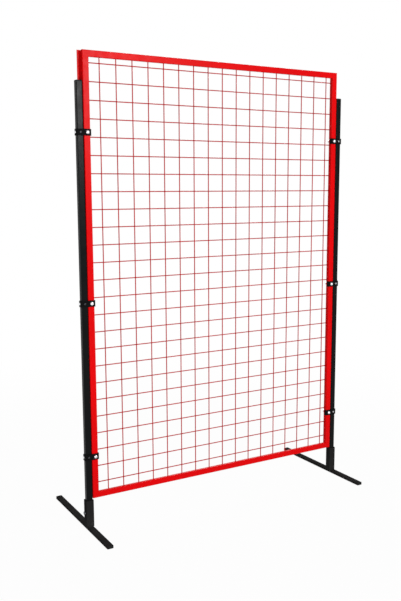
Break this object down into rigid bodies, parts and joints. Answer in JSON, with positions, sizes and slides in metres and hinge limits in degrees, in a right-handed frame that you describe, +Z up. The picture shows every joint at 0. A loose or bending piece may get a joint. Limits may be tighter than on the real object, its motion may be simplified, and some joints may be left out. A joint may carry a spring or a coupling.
{
  "type": "mesh partition panel",
  "caption": "Free-standing partition panel: welded wire mesh in a red tube frame, clamped to black posts in sleeves on long flat feet, to screen off a machine or work area.",
  "frame": {"origin": "on the floor, midway between the posts and midway along the feet", "axes": "+X along the panel to the right, +Y to the rear, +Z up"},
  "size_m": [0.9356, 0.417, 1.366],
  "materials": {
    "frame_paint": "red powder coat, semi-gloss",
    "wire_paint": "red powder coat on wire",
    "post_paint": "black powder coat, satin",
    "clamp_paint": "black powder coat, satin",
    "cap_plastic": "black moulded plastic",
    "bolt_zinc": "bright zinc plating"
  },
  "bodies": {
    "root": {"frame_top_rail": "frame_paint", "frame_bottom_rail": "frame_paint", "frame_left_stile": "frame_paint", "frame_right_stile": "frame_paint", "left_edge_strip": "frame_paint", "right_edge_strip": "frame_paint", "mesh_lower": "wire_paint", "mesh_upper": "wire_paint", "left_post": "post_paint", "right_post": "post_paint", "left_sleeve": "post_paint", "right_sleeve": "post_paint", "left_foot": "post_paint", "right_foot": "post_paint", "left_post_cap": "cap_plastic", "right_post_cap": "cap_plastic", "left_clamp_lower": "clamp_paint", "left_clamp_middle": "clamp_paint", "left_clamp_upper": "clamp_paint", "right_clamp_lower": "clamp_paint", "right_clamp_middle": "clamp_paint", "right_clamp_upper": "clamp_paint"}
  },
  "joints": []
}
